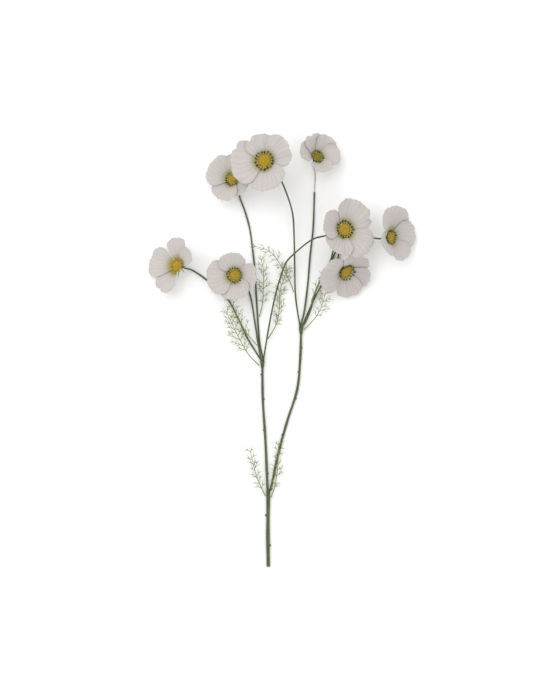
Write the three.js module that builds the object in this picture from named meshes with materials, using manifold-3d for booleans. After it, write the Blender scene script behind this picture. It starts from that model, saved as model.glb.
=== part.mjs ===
// Cosmos spray: one stem that forks into a left and a right branch, eight stalks, each with a
// white cup-shaped bloom, and nine feathery fronds. The cut spray lies on its back on a table.
// Millimetres, +Z up. The stem points along +Y, and the blooms look up.

import * as THREE from "three";
import { mergeVertices } from "three/addons/utils/BufferGeometryUtils.js";
import Module from "manifold-3d";

const wasm = await Module();
wasm.setup();

// ---------------------------------------------------------------- driving dimensions

const STEM_RADIUS = 2.75;
const BRANCH_RADIUS = 1.85;
const STALK_RADIUS = 1.25;
const WIRE_RADIUS = 0.6;
const KNUCKLE_RADIUS = 3.5;
const KNUCKLE_LENGTH = 9;

const STALK_SIDES = 7;
const STEP_LENGTH = 14;

const PETAL_THICKNESS = 0.6;
const PETAL_ROWS = 5;
const PETAL_COLUMNS = 5;
const PETAL_BASE_RADIUS = 2.4;
const PETAL_OVERLAP_STEP = 1.7;
const PETAL_BASE_SHARE = 0.6;
const PETAL_TIP_SHARE = 0.6;
const PETAL_TIP_ROUND = 0.12;

const CALYX_TOP = -1.1;
const CALYX_LENGTH = 7.5;
const CALYX_RADIUS = 3.5;
const CENTRE_GAP = 2.8;
const CENTRE_SIDES = 12;
const STAMEN_REACH = 1.35;
const EYE_HEIGHT = 2;

const RACHIS_RADIUS = 0.7;
const LEAFLET_RADIUS = 0.45;
const LEAFLET_TIP_RADIUS = 0.2;
const LEAFLET_PITCH = 10;
const LEAFLET_SWING = 1.1;
const LEAFLET_RISE = 0.08;

const degrees = THREE.MathUtils.degToRad;
const { clamp, smoothstep, lerp } = THREE.MathUtils;

// ---------------------------------------------------------------- finishes

const petalWhite = { color: 0xe6dfdb, roughness: 0.75, metalness: 0 };
const centreYellow = { color: 0xc0a030, roughness: 0.85, metalness: 0 };
const stemGreen = { color: 0x4c6232, roughness: 0.6, metalness: 0 };
const frondGreen = { color: 0x93a552, roughness: 0.7, metalness: 0 };

const spray = new THREE.Group();
const plant = new THREE.Group();
spray.add(plant);

function addPiece(name, geometry, finish) {
  const material = new THREE.MeshStandardMaterial(finish);
  const piece = new THREE.Mesh(geometry, material);
  piece.name = name;
  plant.add(piece);
  return piece;
}

// ---------------------------------------------------------------- joining closed shapes

function toManifold(geometry) {
  const bare = geometry.clone();
  bare.deleteAttribute("normal");
  bare.deleteAttribute("uv");
  const merged = mergeVertices(bare, 1e-4);
  const vertProperties = new Float32Array(merged.attributes.position.array);
  const triVerts = new Uint32Array(merged.index.array);
  return new wasm.Manifold(new wasm.Mesh({ numProp: 3, vertProperties, triVerts }));
}

function joined(geometries) {
  let solid = toManifold(geometries[0]);
  for (const geometry of geometries.slice(1)) {
    solid = solid.add(toManifold(geometry));
  }
  const mesh = solid.getMesh();
  const result = new THREE.BufferGeometry();
  result.setAttribute("position", new THREE.BufferAttribute(mesh.vertProperties, 3));
  result.setIndex(new THREE.BufferAttribute(mesh.triVerts, 1));
  return result;
}

// ---------------------------------------------------------------- tubes

function curveThrough(points) {
  return new THREE.CatmullRomCurve3(points.map((p) => new THREE.Vector3(...p)), false, "centripetal");
}

// A round bar of one radius along a smooth route.
function tube(points, radius, sides = STALK_SIDES, stepLength = STEP_LENGTH) {
  const route = curveThrough(points);
  const section = new THREE.Shape();
  for (let i = 0; i < sides; i += 1) {
    const turn = (i / sides) * Math.PI * 2;
    const x = radius * Math.cos(turn);
    const y = radius * Math.sin(turn);
    if (i === 0) section.moveTo(x, y);
    else section.lineTo(x, y);
  }
  const steps = Math.max(2, Math.round(route.getLength() / stepLength));
  return new THREE.ExtrudeGeometry(section, { extrudePath: route, steps, bevelEnabled: false });
}

// ---------------------------------------------------------------- stems

// Places are measured from the cut end of the stem: across, along and above the table.
const MAIN_FORK = [0, 114, 2.9];
const LEFT_FORK = [-9, 309, 3.7];
const RIGHT_FORK = [49.5, 360, 3.7];

function knuckle(end, before) {
  const tip = new THREE.Vector3(...end);
  const back = tip.clone().sub(new THREE.Vector3(...before)).normalize();
  const start = tip.clone().addScaledVector(back, -KNUCKLE_LENGTH);
  return tube([start.toArray(), end], KNUCKLE_RADIUS, STALK_SIDES, KNUCKLE_LENGTH);
}

const lowerStem = [[0, 0, STEM_RADIUS], [-0.6, 50, STEM_RADIUS], MAIN_FORK];
const leftBranch = [[-1, 110, 2.9], [-4.5, 192, 2.6], [-8.3, 252, 2.9], LEFT_FORK];
const rightBranch = [
  [3.4, 114.6, 2.9], [7.6, 135, 2.4], [15, 170, 2], [28.5, 219, 2], [43.5, 267, 2.2],
  [48, 312, 3], RIGHT_FORK,
];

addPiece("main_stem", joined([
  tube(lowerStem, STEM_RADIUS),
  tube(leftBranch, BRANCH_RADIUS, STALK_SIDES, 20),
  knuckle(LEFT_FORK, leftBranch[2]),
]), stemGreen);
addPiece("right_branch", joined([
  tube(rightBranch, BRANCH_RADIUS, STALK_SIDES, 20),
  knuckle(RIGHT_FORK, rightBranch[5]),
]), stemGreen);

// ---------------------------------------------------------------- blooms

// centre: where the flower's eye is. lean and heading: how far the bloom's axis leans from
// straight up, and towards which side. cup: slope of the petals at the eye and at the rim, and
// how much more the rim opens towards flareAt. petals: turn, length and half-spread of each.
const BLOOMS = [
  { centre: [-53.9, 582.9, 23], lean: 27, heading: 159, eye: 6.6,
    cup: { base: 38, rim: 12, flare: 0, flareAt: 0 },
    petals: [[147, 42, 58], [55, 40, 54], [330, 36, 50], [245, 37, 60]] },
  { centre: [-5.9, 609, 60], lean: 17, heading: 180, eye: 9,
    cup: { base: 30, rim: 6, flare: 0, flareAt: 0 },
    petals: [[190, 53, 62], [100, 44, 56], [28, 48, 46], [281, 46, 60]] },
  { centre: [73.5, 616, 20], lean: 36, heading: 54, eye: 6,
    cup: { base: 52, rim: 14, flare: 30, flareAt: 270 },
    petals: [[172, 37, 40], [115, 40, 38], [60, 40, 38], [5, 37, 40], [278, 31, 52]] },
  { centre: [114.3, 506, 49], lean: 25, heading: 14, eye: 8.4,
    cup: { base: 32, rim: 10, flare: 0, flareAt: 0 },
    petals: [[63, 47, 70], [322, 47, 50], [240, 42, 50], [165, 41, 48]] },
  { centre: [184, 495, 26.5], lean: 60, heading: 5, eye: 6.6,
    cup: { base: 42, rim: 20, flare: 14, flareAt: 90 },
    petals: [[97, 53, 58], [12, 43, 50], [305, 42, 45], [215, 40, 54]] },
  { centre: [117.5, 443, 19], lean: 48, heading: 315, eye: 8,
    cup: { base: 46, rim: 20, flare: 22, flareAt: 230 },
    petals: [[166, 53, 60], [60, 42, 52], [345, 42, 44], [268, 42, 52]] },
  { centre: [-50.6, 438.2, 28], lean: 13, heading: 180, eye: 7.2,
    cup: { base: 36, rim: 10, flare: 0, flareAt: 0 },
    petals: [[188, 42, 60], [98, 35, 56], [357, 38, 46], [275, 38, 60]] },
  { centre: [-137.4, 452.4, 25.2], lean: 38, heading: 166, eye: 7.6,
    cup: { base: 30, rim: 4, flare: 0, flareAt: 0 },
    petals: [[170, 49, 48], [82, 42, 42], [24, 37, 36], [252, 48, 48]] },
];

function axisOf(bloom) {
  const lean = degrees(bloom.lean);
  const heading = degrees(bloom.heading);
  const across = Math.sin(lean);
  return new THREE.Vector3(across * Math.cos(heading), across * Math.sin(heading), Math.cos(lean));
}

// Distance out from the axis and height along it, at a distance along the petal.
function cupProfile(cup, turn, along, reach) {
  const first = degrees(cup.base);
  const last = degrees(cup.rim - cup.flare * Math.cos(turn - degrees(cup.flareAt)));
  const bend = (last - first) / reach;
  const slope = first + bend * along;
  const out = PETAL_BASE_RADIUS + (Math.sin(slope) - Math.sin(first)) / bend;
  const up = (Math.cos(first) - Math.cos(slope)) / bend;
  return { out, up, slope };
}

// A point on a petal. s runs from the eye to the tip, t from one edge to the other, and depth
// is measured through the petal. One edge lies over its neighbour and the other lies under.
function petalPoint(bloom, petal, s, t, depth) {
  const [turnDegrees, length, spreadDegrees] = petal;
  const reach = Math.max(...bloom.petals.map((each) => each[1]));
  const widening = lerp(PETAL_BASE_SHARE, 1, smoothstep(s, 0, 0.32));
  const beyond = clamp((s - 0.55) / 0.45, 0, 1);
  const narrowing = Math.sqrt(1 - beyond * beyond * (1 - PETAL_TIP_SHARE * PETAL_TIP_SHARE));
  const turn = degrees(turnDegrees + spreadDegrees * t * widening * narrowing);
  const along = length * s * (1 - PETAL_TIP_ROUND * t * t * s);
  const { out, up, slope } = cupProfile(bloom.cup, turn, along, reach);
  const lift = PETAL_OVERLAP_STEP * t * smoothstep(along, 1, 9) + depth;
  const radial = out - Math.sin(slope) * lift;
  const height = up + Math.cos(slope) * lift;
  return [radial * Math.cos(turn), radial * Math.sin(turn), height];
}

// A closed thin shell: the inner face, the outer face and the rim between them.
function petalGeometry(bloom, petal) {
  const rows = PETAL_ROWS;
  const columns = PETAL_COLUMNS;
  const positions = [];
  for (const depth of [PETAL_THICKNESS / 2, -PETAL_THICKNESS / 2]) {
    for (let row = 0; row <= rows; row += 1) {
      for (let column = 0; column <= columns; column += 1) {
        positions.push(...petalPoint(bloom, petal, row / rows, (2 * column) / columns - 1, depth));
      }
    }
  }
  const faceSize = (rows + 1) * (columns + 1);
  const at = (row, column, face) => face * faceSize + row * (columns + 1) + column;
  const index = [];
  const quad = (a, b, c, d) => index.push(a, b, c, a, c, d);
  for (let row = 0; row < rows; row += 1) {
    for (let column = 0; column < columns; column += 1) {
      quad(at(row, column, 0), at(row + 1, column, 0), at(row + 1, column + 1, 0), at(row, column + 1, 0));
      quad(at(row, column, 1), at(row, column + 1, 1), at(row + 1, column + 1, 1), at(row + 1, column, 1));
    }
    quad(at(row, 0, 0), at(row, 0, 1), at(row + 1, 0, 1), at(row + 1, 0, 0));
    quad(at(row, columns, 0), at(row + 1, columns, 0), at(row + 1, columns, 1), at(row, columns, 1));
  }
  for (let column = 0; column < columns; column += 1) {
    quad(at(0, column, 0), at(0, column + 1, 0), at(0, column + 1, 1), at(0, column, 1));
    quad(at(rows, column, 0), at(rows, column, 1), at(rows, column + 1, 1), at(rows, column + 1, 0));
  }
  const geometry = new THREE.BufferGeometry();
  geometry.setAttribute("position", new THREE.Float32BufferAttribute(positions, 3));
  geometry.setIndex(index);
  return geometry;
}

// Height of the eye's underside, clear of the petals below it.
function underEye(bloom, radius) {
  return Math.tan(degrees(bloom.cup.base)) * Math.max(0, radius - PETAL_BASE_RADIUS) + CENTRE_GAP;
}

// The yellow eye with its ring of stamens: a dome on a collar that follows the cup.
function centreGeometry(bloom) {
  const ring = bloom.eye * STAMEN_REACH;
  const shoulder = underEye(bloom, bloom.eye) + EYE_HEIGHT;
  const dome = bloom.eye * 0.45;
  const profile = [
    [0, CENTRE_GAP], [PETAL_BASE_RADIUS, CENTRE_GAP],
    [ring, underEye(bloom, ring)], [ring, underEye(bloom, ring) + 1],
    [bloom.eye, shoulder], [bloom.eye * 0.8, shoulder + dome * 0.6],
    [bloom.eye * 0.5, shoulder + dome * 0.87], [0, shoulder + dome],
  ];
  const geometry = new THREE.LatheGeometry(profile.map((p) => new THREE.Vector2(...p)), CENTRE_SIDES);
  geometry.rotateX(Math.PI / 2);
  return geometry;
}

function calyxGeometry(radius) {
  const profile = [
    new THREE.Vector2(0, CALYX_TOP - CALYX_LENGTH),
    new THREE.Vector2(radius, CALYX_TOP - CALYX_LENGTH),
    new THREE.Vector2(CALYX_RADIUS * 0.75, CALYX_TOP - CALYX_LENGTH * 0.45),
    new THREE.Vector2(CALYX_RADIUS, CALYX_TOP),
    new THREE.Vector2(0, CALYX_TOP),
  ];
  const geometry = new THREE.LatheGeometry(profile, STALK_SIDES);
  geometry.rotateX(Math.PI / 2);
  return geometry;
}

// The petals meet below the eye, down the axis.
function baseOf(bloom) {
  const depth = underEye(bloom, bloom.eye) + EYE_HEIGHT;
  return new THREE.Vector3(...bloom.centre).addScaledVector(axisOf(bloom), -depth);
}

function placed(geometry, bloom) {
  const turn = new THREE.Quaternion().setFromUnitVectors(new THREE.Vector3(0, 0, 1), axisOf(bloom));
  geometry.applyQuaternion(turn);
  geometry.translate(...baseOf(bloom).toArray());
  return geometry;
}

// ---------------------------------------------------------------- stalks

// Each stalk leaves its fork at one of four places in the knuckle's end face.
const SLOT = 1.6;
const CLEAR = 1.3;
function slotAt(fork, side, level) {
  return [fork[0] + side * SLOT, fork[1] + CLEAR, fork[2] + level * SLOT];
}

const STALKS = [
  [slotAt(LEFT_FORK, 1, -1), [-12.9, 336, 2], [-15.7, 370, 1.7], [-18.6, 418, 1.7], [-20.1, 445, 1.7],
    [-23.4, 475.5, 1.7], [-28.2, 510, 1.7], [-35.3, 535.5, 1.5], [-44, 560, 1.3]],
  [slotAt(RIGHT_FORK, -1, 1), [44.6, 380, 6.2], [40.8, 410.4, 7.5], [39.7, 456.3, 9], [38.9, 494.6, 12],
    [36.9, 529, 18], [30.5, 553, 26], [15.5, 587.7, 38]],
  [slotAt(RIGHT_FORK, -1, -1), [53.2, 380, 2], [59, 422, 1.8], [62.7, 466, 1.8], [67.5, 510, 1.8],
    [69.5, 545, 1.8], [71.5, 564, 1.8]],
  [slotAt(LEFT_FORK, 1, 1), [-0.5, 353, 9], [7.2, 393, 12], [15.9, 427.7, 15], [27.3, 458.3, 19],
    [39.8, 471.6, 21.5], [67.5, 492.8, 26], [85, 497.5, 29]],
  [slotAt(RIGHT_FORK, 1, 1), [56.5, 369, 6.6], [64.7, 390, 8.2], [68.9, 408, 8], [77.3, 429, 8],
    [93.6, 460.5, 8], [99.5, 479.4, 9], [113, 492, 12], [140, 496.5, 18]],
  [slotAt(RIGHT_FORK, 1, -1), [57.5, 377, 2.2], [63.6, 391, 2.4], [73.5, 412, 2.8], [84, 430, 3],
    [95.4, 459, 3], [100, 470, 3.4], [105.8, 471, 4.6]],
  [slotAt(LEFT_FORK, -1, 1), [-14.7, 332, 5], [-20.6, 370, 4], [-28.5, 412.5, 2.6], [-40, 432, 4.2]],
  [slotAt(LEFT_FORK, -1, -1), [-18, 322, 1.8], [-32, 345.3, 1.6], [-45.3, 374, 1.6], [-62.6, 404.7, 1.6],
    [-90, 429.3, 1.6], [-104, 440, 1.4], [-115, 446.6, 1.8]],
];

// The green tube of bloom 3 has slipped down and leaves this much of its wire bare.
const BARE_WIRE = [[71.5, 558, 1.8], [72, 566, 1.8], [70.4, 594.6, 1.3]];
const BARE_BLOOM = 2;

// The last stretch runs up into the calyx along the bloom's axis.
function neckPoints(bloom) {
  const base = baseOf(bloom);
  const axis = axisOf(bloom);
  const seat = CALYX_TOP - CALYX_LENGTH;
  return [seat - 6, seat + 0.5].map((level) => base.clone().addScaledVector(axis, level).toArray());
}

BLOOMS.forEach((bloom, i) => {
  const name = `bloom_${i + 1}`;
  const bare = i === BARE_BLOOM;
  const radius = bare ? WIRE_RADIUS : STALK_RADIUS;
  const pieces = [placed(calyxGeometry(radius), bloom)];
  if (bare) {
    pieces.push(tube(STALKS[i], STALK_RADIUS));
    pieces.push(tube([...BARE_WIRE, ...neckPoints(bloom)], WIRE_RADIUS, 6, 5));
  } else {
    pieces.push(tube([...STALKS[i], ...neckPoints(bloom)], STALK_RADIUS));
  }
  addPiece(`${name}_stalk`, joined(pieces), stemGreen);
  addPiece(`${name}_centre`, placed(centreGeometry(bloom), bloom), centreYellow);
  bloom.petals.forEach((petal, j) => {
    addPiece(`${name}_petal_${j + 1}`, placed(petalGeometry(bloom, petal), bloom), petalWhite);
  });
});

// ---------------------------------------------------------------- fronds

// route: the midrib. reach: length of the longest leaflets. bare: share of the midrib with no
// leaflets, at its foot.
const FRONDS = [
  { name: "frond_left_low", reach: 25, bare: 0.25,
    route: [[-13.8, 303, 5], [-21, 310, 6.5], [-30, 320, 7.5], [-46.5, 349, 9], [-64.5, 387, 10]] },
  { name: "frond_left_high", reach: 20, bare: 0.2,
    route: [[-16.9, 333, 6.7], [-24, 341, 10], [-36, 357, 13], [-49.5, 384, 15], [-60, 404, 16]] },
  { name: "frond_fork_right", reach: 20, bare: 0.15,
    route: [[-0.4, 343, 6.4], [5, 352, 5], [12, 365, 4], [16.5, 387, 3.5], [18, 417, 4], [33, 454, 6]] },
  { name: "frond_centre", reach: 17, bare: 0.2,
    route: [[-13.6, 376, 3], [-9, 395, 5], [-7.5, 417, 6.5], [-7.5, 447, 7.5], [-12, 469, 8.5]] },
  { name: "frond_long", reach: 17, bare: 0.15,
    route: [[38.3, 413, 8.6], [34.5, 424.5, 9.5], [22.5, 447, 10], [3, 474, 11], [-23, 483, 13]] },
  { name: "frond_right_low", reach: 18, bare: 0.3,
    route: [[54.3, 357, 4.6], [63, 366, 9], [75, 381, 11], [83.5, 402, 12], [87, 421, 13]] },
  { name: "frond_right_high", reach: 16, bare: 0.2,
    route: [[64.9, 397, 9.9], [66, 403, 14], [70.5, 414, 17], [76, 427, 18.5], [83, 440, 19.5]] },
  { name: "frond_stem_left", reach: 17, bare: 0.1,
    route: [[-4, 106, 4], [-10, 118, 6], [-18, 138, 8], [-24, 160, 10], [-28, 178, 11]] },
  { name: "frond_stem_right", reach: 16, bare: 0.1,
    route: [[4, 104, 4], [9, 118, 7], [13, 140, 9], [15, 165, 10.5], [15, 190, 12]] },
];

// A thin tapered leaflet from a point on the midrib.
function leaflet(foot, direction, length) {
  const shape = new THREE.CylinderGeometry(LEAFLET_TIP_RADIUS, LEAFLET_RADIUS, length, 3);
  shape.translate(0, length / 2, 0);
  shape.applyQuaternion(new THREE.Quaternion().setFromUnitVectors(new THREE.Vector3(0, 1, 0), direction));
  shape.translate(...foot.toArray());
  return shape;
}

// Leaflets stand in pairs, longest a third of the way up and shorter towards the tip.
function frondGeometry(frond) {
  const midrib = curveThrough(frond.route);
  const pieces = [tube(frond.route, RACHIS_RADIUS, 5, 12)];
  const pairs = Math.round((midrib.getLength() * (1 - frond.bare)) / LEAFLET_PITCH);
  for (let i = 0; i < pairs; i += 1) {
    const share = frond.bare + (1 - frond.bare) * (i + 0.5) / pairs;
    const foot = midrib.getPointAt(share);
    const along = midrib.getTangentAt(share);
    const rise = smoothstep((i + 1) / pairs, 0, 0.35);
    const length = frond.reach * lerp(0.4, 1, rise) * (1 - 0.6 * (i / pairs));
    for (const side of [-1, 1]) {
      const away = new THREE.Vector3(0, 0, 1).cross(along).normalize().multiplyScalar(side);
      const direction = along.clone().addScaledVector(away, LEAFLET_SWING).normalize();
      direction.z += LEAFLET_RISE;
      pieces.push(leaflet(foot, direction.normalize(), length));
    }
  }
  return joined(pieces);
}

for (const frond of FRONDS) {
  addPiece(frond.name, frondGeometry(frond), frondGreen);
}

// ---------------------------------------------------------------- origin

// The origin is the middle of the footprint, on the table.
const box = new THREE.Box3().setFromObject(plant);
plant.position.set(-(box.min.x + box.max.x) / 2, -(box.min.y + box.max.y) / 2, -box.min.z);

export default spray;
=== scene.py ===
import math
import random

import bpy
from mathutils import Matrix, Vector


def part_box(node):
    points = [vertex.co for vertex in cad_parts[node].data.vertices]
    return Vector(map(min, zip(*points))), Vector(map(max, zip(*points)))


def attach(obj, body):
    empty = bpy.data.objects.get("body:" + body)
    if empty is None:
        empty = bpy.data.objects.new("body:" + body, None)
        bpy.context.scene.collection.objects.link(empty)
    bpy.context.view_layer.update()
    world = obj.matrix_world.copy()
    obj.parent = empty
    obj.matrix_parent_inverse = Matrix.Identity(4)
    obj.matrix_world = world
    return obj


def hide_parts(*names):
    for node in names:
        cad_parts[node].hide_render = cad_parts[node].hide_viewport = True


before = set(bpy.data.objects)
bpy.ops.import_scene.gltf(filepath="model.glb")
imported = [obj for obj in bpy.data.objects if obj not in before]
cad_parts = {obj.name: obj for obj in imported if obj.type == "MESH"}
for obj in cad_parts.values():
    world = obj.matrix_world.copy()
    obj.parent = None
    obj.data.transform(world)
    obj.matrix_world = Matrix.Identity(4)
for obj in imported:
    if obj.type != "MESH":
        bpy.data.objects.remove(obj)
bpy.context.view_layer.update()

bl_info = {
    "name": "Cosmos spray",
    "version": (1, 0, 0),
    "blender": (4, 5, 0),
    "location": "3D View > Sidebar > Cosmos",
    "description": "Builds a cut spray of white cosmos blooms that lies on a table",
    "category": "Add Mesh",
}

MM = 0.001
ROOT = "root"
GOLDEN_ANGLE = math.pi * (3 - math.sqrt(5))
UP = Vector((0, 0, 1))


# ------------------------------------------------------------------ sizes and colours

class CosmosSizes(bpy.types.PropertyGroup):
    """Sizes of the spray's pieces"""
    stem_radius: bpy.props.FloatProperty(
        name="Stem radius", description="Radius of the main stem below the fork",
        default=2.75 * MM, unit="LENGTH")
    branch_radius: bpy.props.FloatProperty(
        name="Branch radius", description="Radius of the two branches",
        default=1.85 * MM, unit="LENGTH")
    stalk_radius: bpy.props.FloatProperty(
        name="Stalk radius", description="Radius of each bloom's stalk",
        default=1.25 * MM, unit="LENGTH")
    wire_radius: bpy.props.FloatProperty(
        name="Wire radius", description="Radius of the bare wire below one bloom",
        default=0.6 * MM, unit="LENGTH")
    petal_thickness: bpy.props.FloatProperty(
        name="Petal thickness", description="Thickness of the petals' cloth",
        default=0.35 * MM, unit="LENGTH")
    ruffle: bpy.props.FloatProperty(
        name="Ruffle", description="Height of the waves along the petals' rims",
        default=1.3 * MM, unit="LENGTH")
    stamens: bpy.props.IntProperty(
        name="Stamens", description="Stamens around each eye", default=17, min=5)
    florets: bpy.props.IntProperty(
        name="Florets", description="Small florets on each eye", default=130, min=20)
    leaflet_pitch: bpy.props.FloatProperty(
        name="Leaflet pitch", description="Distance between pairs of side leaflets",
        default=9.5 * MM, unit="LENGTH")


def colour(name, description, value):
    return bpy.props.FloatVectorProperty(
        name=name, description=description, default=value, subtype="COLOR", size=3, min=0, max=1)


class CosmosColours(bpy.types.PropertyGroup):
    """Colours of the spray's pieces"""
    petal: colour("Petal", "Cloth of the petals", (0.53, 0.50, 0.475))
    # Painted shade: this colour darkens the grooves between the petals' ribs and the cup towards the eye. It
    # also gives the faint veins.
    petal_veins_and_painted_shade: colour("Petal shade", "Greyer cloth between the ribs", (0.33, 0.315, 0.285))
    # Partly painted shade: the heart colour is the cloth's own green-yellow tint beside the eye together
    # with shade around the ring of stamens.
    petal_heart_tint_and_shade: colour("Petal heart", "Green-yellow tint beside the eye", (0.30, 0.27, 0.05))
    eye: colour("Eye", "Florets of the eye", (0.70, 0.50, 0.035))
    # Painted shade: the eye hollows colour stands for shade between the florets and is mixed in as random
    # specks.
    eye_painted_shade: colour("Eye hollows", "Hollows between the florets", (0.26, 0.15, 0.010))
    anther: colour("Anther", "Tips of the stamens", (0.022, 0.012, 0.006))
    filament: colour("Filament", "Stalks of the stamens", (0.50, 0.43, 0.08))
    stem: colour("Stem", "Stems and stalks", (0.082, 0.125, 0.028))
    stem_dark: colour("Dark stem", "Knuckles and shaded streaks", (0.026, 0.048, 0.012))
    frond: colour("Frond", "Feathery leaves", (0.21, 0.27, 0.045))
    frond_tip: colour("Frond tip", "Paler ends of the leaflets", (0.36, 0.36, 0.19))
    wire: colour("Wire", "Bare wire", (0.42, 0.42, 0.42))
    floor: colour("Floor", "Table under the spray", (0.96, 0.96, 0.96))


def sizes():
    return bpy.context.scene.cosmos_sizes


def colours():
    return bpy.context.scene.cosmos_colours


# ------------------------------------------------------------------ routes and blooms

# Places are in millimetres from the cut end of the stem: across, along and above the table.
MAIN_FORK = (0, 114, 2.9)
LEFT_FORK = (-9, 309, 3.7)
RIGHT_FORK = (49.5, 360, 3.7)
SLOT = 1.6
CLEAR = 1.3
KNUCKLE_RADIUS = 3.3 * MM
STEM_RADIUS_CAD = 2.75


def find_cut_end():
    low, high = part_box("main_stem")
    return Vector((high[0] - STEM_RADIUS_CAD * MM, low[1], low[2]))


CUT_END = find_cut_end()


def place(point):
    """A place on the spray, from the cut end, as a point of the frame."""
    return CUT_END + Vector(point) * MM


def slot_at(fork, side, level):
    return (fork[0] + side * SLOT, fork[1] + CLEAR, fork[2] + level * SLOT)


LOWER_STEM = [(0, 0, 2.75), (-0.6, 50, 2.75), MAIN_FORK]
LEFT_BRANCH = [(-1, 110, 2.9), (-4.5, 192, 2.6), (-8.3, 252, 2.9), LEFT_FORK]
RIGHT_BRANCH = [
    (3.4, 114.6, 2.9), (7.6, 135, 2.4), (15, 170, 2), (28.5, 219, 2), (43.5, 267, 2.2),
    (48, 312, 3), RIGHT_FORK,
]

STALKS = [
    [slot_at(LEFT_FORK, 1, -1), (-12.9, 336, 2), (-15.7, 370, 1.7), (-18.6, 418, 1.7),
     (-20.1, 445, 1.7), (-23.4, 475.5, 1.7), (-28.2, 510, 1.7), (-35.3, 535.5, 1.5),
     (-44, 560, 1.3)],
    [slot_at(RIGHT_FORK, -1, 1), (44.6, 380, 6.2), (40.8, 410.4, 7.5), (39.7, 456.3, 9),
     (38.9, 494.6, 12), (36.9, 529, 18), (30.5, 553, 26), (15.5, 587.7, 38)],
    [slot_at(RIGHT_FORK, -1, -1), (53.2, 380, 2), (59, 422, 1.8), (62.7, 466, 1.8),
     (67.5, 510, 1.8), (68.9, 545, 1.8), (69.4, 564, 1.8)],
    [slot_at(LEFT_FORK, 1, 1), (-0.5, 353, 9), (7.2, 393, 12), (15.9, 427.7, 15),
     (27.3, 458.3, 19), (39.8, 471.6, 21.5), (67.5, 492.8, 26), (85, 497.5, 29)],
    [slot_at(RIGHT_FORK, 1, 1), (56.5, 369, 6.6), (64.7, 390, 8.2), (68.9, 408, 8),
     (77.3, 429, 8), (93.6, 460.5, 8), (99.5, 479.4, 9), (113, 492, 12), (140, 496.5, 18)],
    [slot_at(RIGHT_FORK, 1, -1), (57.5, 377, 2.2), (63.6, 391, 2.4), (73.5, 412, 2.8),
     (84, 430, 3), (95.4, 459, 3), (101.5, 474, 3.4), (106, 476, 4.6)],
    [slot_at(LEFT_FORK, -1, 1), (-14.7, 332, 5), (-20.6, 370, 4), (-28.5, 412.5, 2.6),
     (-40, 432, 4.2)],
    [slot_at(LEFT_FORK, -1, -1), (-18, 322, 1.8), (-32, 345.3, 1.6), (-45.3, 374, 1.6),
     (-62.6, 404.7, 1.6), (-90, 429.3, 1.6), (-104, 440, 1.4), (-115, 446.6, 1.8)],
]
BARE_WIRE = [(69.3, 558, 1.8), (69.6, 566, 1.8), (70.2, 594.6, 1.3)]
BARE_BLOOM = 2

# lean and heading: how far a bloom's axis leans from straight up, and towards which side.
# cup: slope of the petals at the eye and at the rim, and how much more the rim opens towards
# flare_at. petals: turn, length and half-spread of each, in degrees and millimetres.
BLOOMS = [
    dict(lean=27, heading=159, eye=6.6, cup=(38, 12, 0, 0),
         petals=[(147, 42, 58), (55, 40, 54), (330, 36, 50), (245, 37, 60)]),
    dict(lean=17, heading=180, eye=9, cup=(30, 6, 0, 0),
         petals=[(184, 51, 60), (101, 40, 54), (30, 47, 50), (281, 46, 62)]),
    dict(lean=36, heading=54, eye=6, cup=(52, 14, 30, 270),
         petals=[(172, 37, 48), (115, 39, 46), (60, 39, 46), (5, 37, 46), (284, 31, 54)]),
    dict(lean=25, heading=14, eye=8.4, cup=(32, 10, 0, 0),
         petals=[(60, 48, 58), (316, 48, 48), (240, 42, 52), (165, 41, 50)]),
    dict(lean=52, heading=5, eye=6.6, cup=(40, 14, 20, 200),
         petals=[(100, 50, 60), (14, 43, 50), (302, 40, 42), (214, 35, 54)]),
    dict(lean=48, heading=315, eye=8, cup=(52, 10, 34, 170),
         petals=[(172, 50, 56), (70, 44, 52), (350, 42, 46), (280, 42, 52)]),
    dict(lean=13, heading=180, eye=7.2, cup=(36, 10, 0, 0),
         petals=[(188, 42, 60), (98, 35, 56), (357, 38, 46), (275, 38, 60)]),
    dict(lean=38, heading=166, eye=7.6, cup=(30, 4, 0, 0),
         petals=[(168, 48, 42), (84, 42, 34), (32, 35, 34), (240, 44, 36)]),
]

FRONDS = [
    dict(name="frond_left_low", reach=25, bare=0.25,
         route=[(-13.8, 303, 5), (-21, 310, 6.5), (-30, 320, 7.5), (-46.5, 349, 9),
                (-64.5, 387, 10)]),
    dict(name="frond_left_high", reach=20, bare=0.2,
         route=[(-16.9, 333, 6.7), (-24, 341, 10), (-36, 357, 13), (-49.5, 384, 15),
                (-60, 404, 16)]),
    dict(name="frond_fork_right", reach=20, bare=0.15,
         route=[(-0.4, 343, 6.4), (5, 352, 5), (12, 365, 4), (16.5, 387, 3.5), (18, 417, 4),
                (33, 454, 6)]),
    dict(name="frond_centre", reach=17, bare=0.2,
         route=[(-13.6, 376, 3), (-9, 395, 5), (-7.5, 417, 6.5), (-7.5, 447, 7.5),
                (-12, 469, 8.5)]),
    dict(name="frond_long", reach=17, bare=0.15,
         route=[(38.3, 413, 8.6), (34.5, 424.5, 9.5), (22.5, 447, 10), (3, 474, 11),
                (-23, 483, 13)]),
    dict(name="frond_right_low", reach=18, bare=0.3,
         route=[(54.3, 357, 4.6), (63, 366, 9), (75, 381, 11), (83.5, 402, 12), (87, 421, 13)]),
    dict(name="frond_right_high", reach=16, bare=0.2,
         route=[(64.9, 397, 9.9), (66, 403, 14), (70.5, 414, 17), (76, 427, 18.5),
                (83, 440, 19.5)]),
    dict(name="frond_stem_left", reach=17, bare=0.1,
         route=[(-4, 106, 4), (-10, 118, 6), (-18, 138, 8), (-24, 160, 10), (-28, 178, 11)]),
    dict(name="frond_stem_right", reach=16, bare=0.1,
         route=[(4, 104, 4), (9, 118, 7), (13, 140, 9), (15, 165, 10.5), (15, 190, 12)]),
]


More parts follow.
